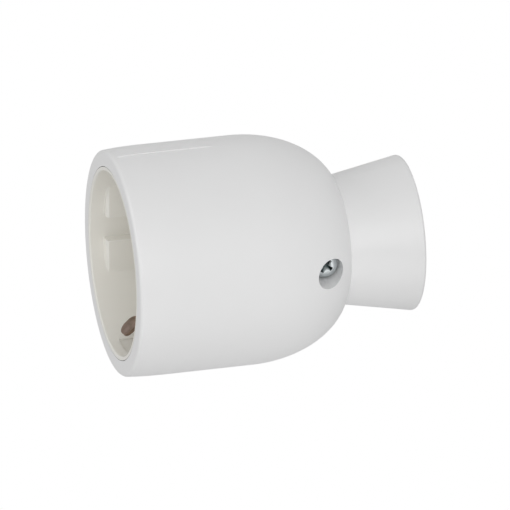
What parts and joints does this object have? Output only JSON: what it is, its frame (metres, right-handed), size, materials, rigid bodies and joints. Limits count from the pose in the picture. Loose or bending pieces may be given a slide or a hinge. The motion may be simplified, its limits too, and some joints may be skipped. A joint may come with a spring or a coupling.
{
  "type": "earthed socket",
  "caption": "Portable earthed mains socket: white bell-shaped hood with a flared cord collar, a round well with side earth clips, pin holes and guide pads, and side screws.",
  "frame": {"origin": "centre of the collar's end face, which the socket stands on", "axes": "+Z along the axis to the well's mouth; the two pins lie along Y, the shown hood screw is at -Y; the two earth clips and the raised lines on the hood lie along X"},
  "size_m": [0.0492, 0.0488, 0.0643],
  "materials": {
    "hood_white": "satin moulded thermoset, neutral white",
    "insert_cream": "satin moulded, cream",
    "cover_cream": "matt moulded, cream",
    "clip_copper": "rolled strip, copper coloured",
    "contact_bronze": "rolled strip",
    "terminal_brass": "drawn bar, cut to length",
    "screw_zinc": "zinc plated, bluish"
  },
  "bodies": {
    "root": {"cord_clamp": "cover_cream", "cord_clamp_screw_left": "screw_zinc", "cord_clamp_screw_right": "screw_zinc", "cover_screw_left": "screw_zinc", "cover_screw_right": "screw_zinc", "earth_strap": "clip_copper", "earth_terminal": "terminal_brass", "earth_terminal_screw": "screw_zinc", "hood": "hood_white", "hood_nut_left": "screw_zinc", "hood_nut_right": "screw_zinc", "hood_screw_left": "screw_zinc", "hood_screw_right": "screw_zinc", "line_contact": "contact_bronze", "line_terminal": "terminal_brass", "line_terminal_screw": "screw_zinc", "neutral_contact": "contact_bronze", "neutral_terminal": "terminal_brass", "neutral_terminal_screw": "screw_zinc", "rear_cover": "cover_cream", "socket_insert": "insert_cream"}
  },
  "joints": []
}
